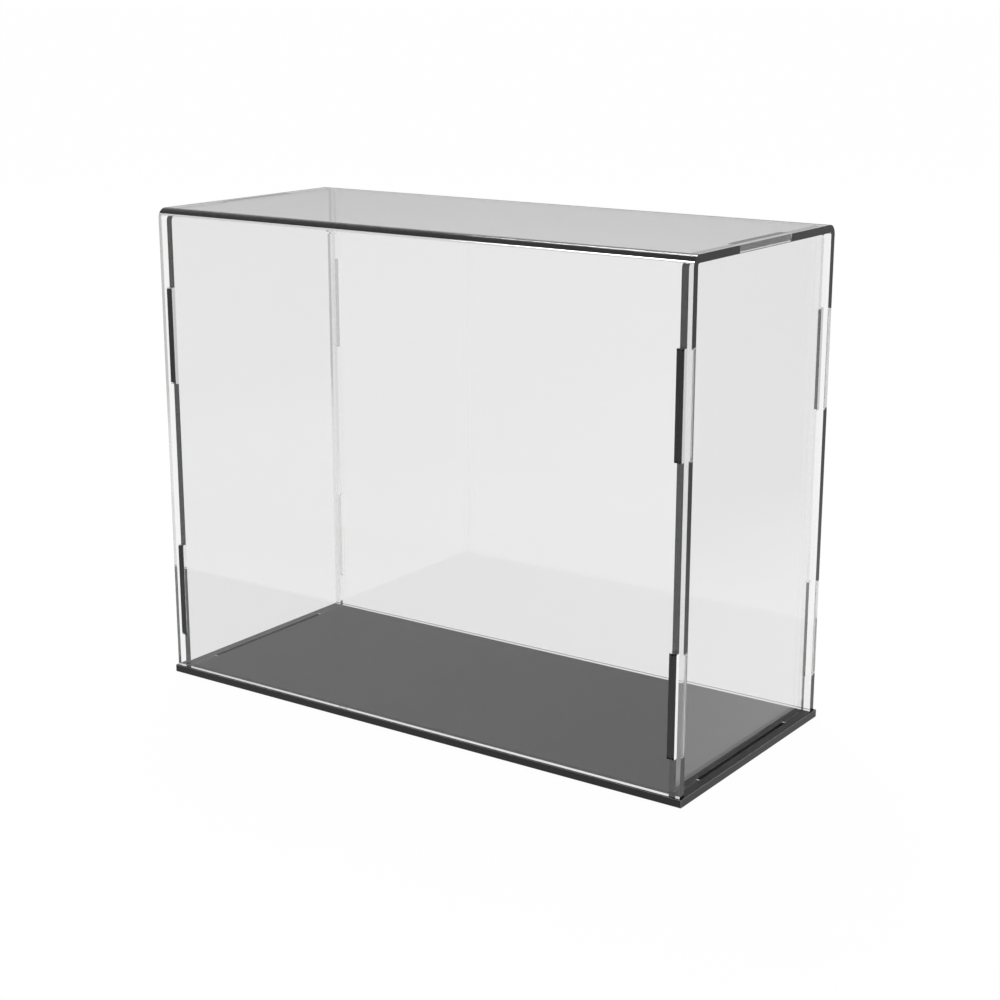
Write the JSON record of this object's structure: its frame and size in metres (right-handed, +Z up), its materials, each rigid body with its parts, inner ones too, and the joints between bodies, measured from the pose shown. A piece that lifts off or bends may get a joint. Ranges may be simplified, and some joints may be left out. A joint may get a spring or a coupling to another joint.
{
  "type": "acrylic display box",
  "caption": "Clear acrylic display case, a bent cover with tabbed side panels that lifts off a black base plate, for showing a model or figure.",
  "frame": {"origin": "centre of the base plate's underside, on the surface that the box stands on", "axes": "+X along the width to the right, +Y from the front of the cover to its back, +Z up"},
  "size_m": [0.25, 0.11, 0.199],
  "materials": {
    "black_acrylic": "black acrylic sheet with a satin face",
    "clear_acrylic": "clear polished acrylic sheet"
  },
  "bodies": {
    "base": {"base_plate": "black_acrylic"},
    "cover": {"bent_cover": "clear_acrylic", "left_panel": "clear_acrylic", "right_panel": "clear_acrylic"}
  },
  "joints": [
    {"name": "cover_lift", "type": "slide", "parent": "base", "child": "cover", "axis": [0, 0, 1], "range_m": [0, 0.22]}
  ]
}
